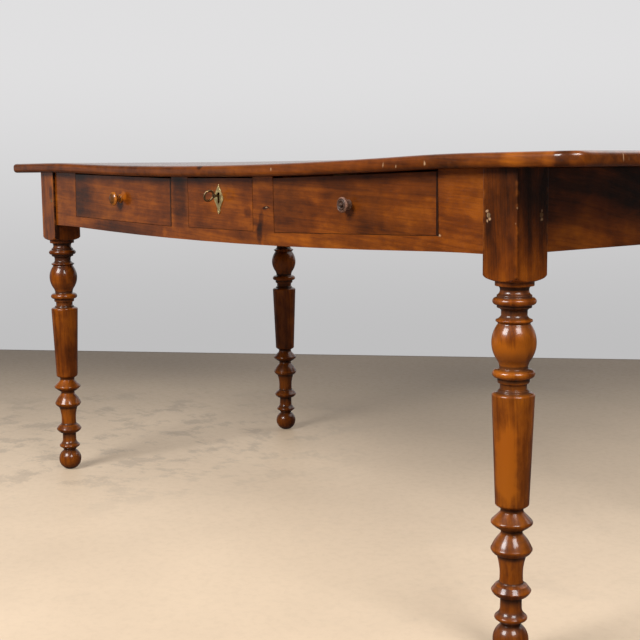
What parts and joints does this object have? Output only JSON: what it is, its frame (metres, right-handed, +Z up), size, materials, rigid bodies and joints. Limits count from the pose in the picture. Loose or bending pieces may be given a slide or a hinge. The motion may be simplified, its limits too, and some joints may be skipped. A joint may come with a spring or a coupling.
{
  "type": "writing table",
  "caption": "Long walnut writing table on ring-turned legs, with a gently sagging front, knobbed side drawers and a middle drawer locked by a ring-bowed key in a lozenge plate.",
  "frame": {"origin": "on the floor under the middle of the table", "axes": "+X along the table to the right as seen from the front, -Y towards the front with the drawers, +Z up"},
  "size_m": [1.77, 0.798, 0.76],
  "materials": {
    "walnut": "figured walnut with a glossy French polish",
    "pale_wood": "planed unpolished poplar and oak",
    "knob_wood": "turned orange-brown fruitwood, polished",
    "grey_knob_wood": "turned pinkish grey wood, worn polish",
    "brass": "dull aged brass",
    "iron": "dark brown old iron"
  },
  "bodies": {
    "frame": {"front_top_board": "walnut", "middle_top_board": "walnut", "rear_top_board": "walnut", "front_left_leg": "walnut", "front_right_leg": "walnut", "rear_left_leg": "walnut", "rear_right_leg": "walnut", "front_apron": "walnut", "rear_apron": "walnut", "left_apron": "walnut", "right_apron": "walnut", "joint_pegs": "pale_wood", "left_outer_runner": "pale_wood", "left_middle_runner": "pale_wood", "right_middle_runner": "pale_wood", "right_outer_runner": "pale_wood", "left_outer_guide": "pale_wood", "left_middle_guide": "pale_wood", "right_middle_guide": "pale_wood", "right_outer_guide": "pale_wood", "drawer_stops": "pale_wood", "fixing_blocks": "pale_wood", "top_screws": "iron", "strike_plate": "brass", "strike_screws": "iron"},
    "left_drawer": {"left_drawer_front": "walnut", "left_drawer_left_side": "pale_wood", "left_drawer_right_side": "pale_wood", "left_drawer_back": "pale_wood", "left_drawer_bottom": "pale_wood", "left_drawer_knob": "knob_wood"},
    "middle_drawer": {"middle_drawer_front": "walnut", "middle_drawer_left_side": "pale_wood", "middle_drawer_right_side": "pale_wood", "middle_drawer_back": "pale_wood", "middle_drawer_bottom": "pale_wood", "escutcheon": "brass", "escutcheon_pins": "brass", "lock_case": "iron", "lock_plate": "brass", "lock_screws": "iron"},
    "right_drawer": {"right_drawer_front": "walnut", "right_drawer_left_side": "pale_wood", "right_drawer_right_side": "pale_wood", "right_drawer_back": "pale_wood", "right_drawer_bottom": "pale_wood", "right_drawer_knob": "grey_knob_wood"},
    "key": {"key": "iron"},
    "bolt": {"lock_bolt": "iron"}
  },
  "joints": [
    {"name": "left_drawer_slide", "type": "slide", "parent": "frame", "child": "left_drawer", "axis": [0, -1, 0], "range_m": [0, 0.4]},
    {"name": "middle_drawer_slide", "type": "slide", "parent": "frame", "child": "middle_drawer", "axis": [0, -1, 0], "range_m": [0, 0.4]},
    {"name": "right_drawer_slide", "type": "slide", "parent": "frame", "child": "right_drawer", "axis": [0, -1, 0], "range_m": [0, 0.4]},
    {"name": "key_turn", "type": "hinge", "parent": "middle_drawer", "child": "key", "pos_m": [0.004, -0.37, 0.6905], "axis": [0, 1, 0], "range_deg": [0, 180]},
    {"name": "bolt_slide", "type": "slide", "parent": "middle_drawer", "child": "bolt", "axis": [0, 0, 1], "range_m": [0, 0.008]}
  ],
  "couplings": [
    {"joint": "key_turn", "follows": "bolt_slide", "rad_per_m": 392.7}
  ]
}
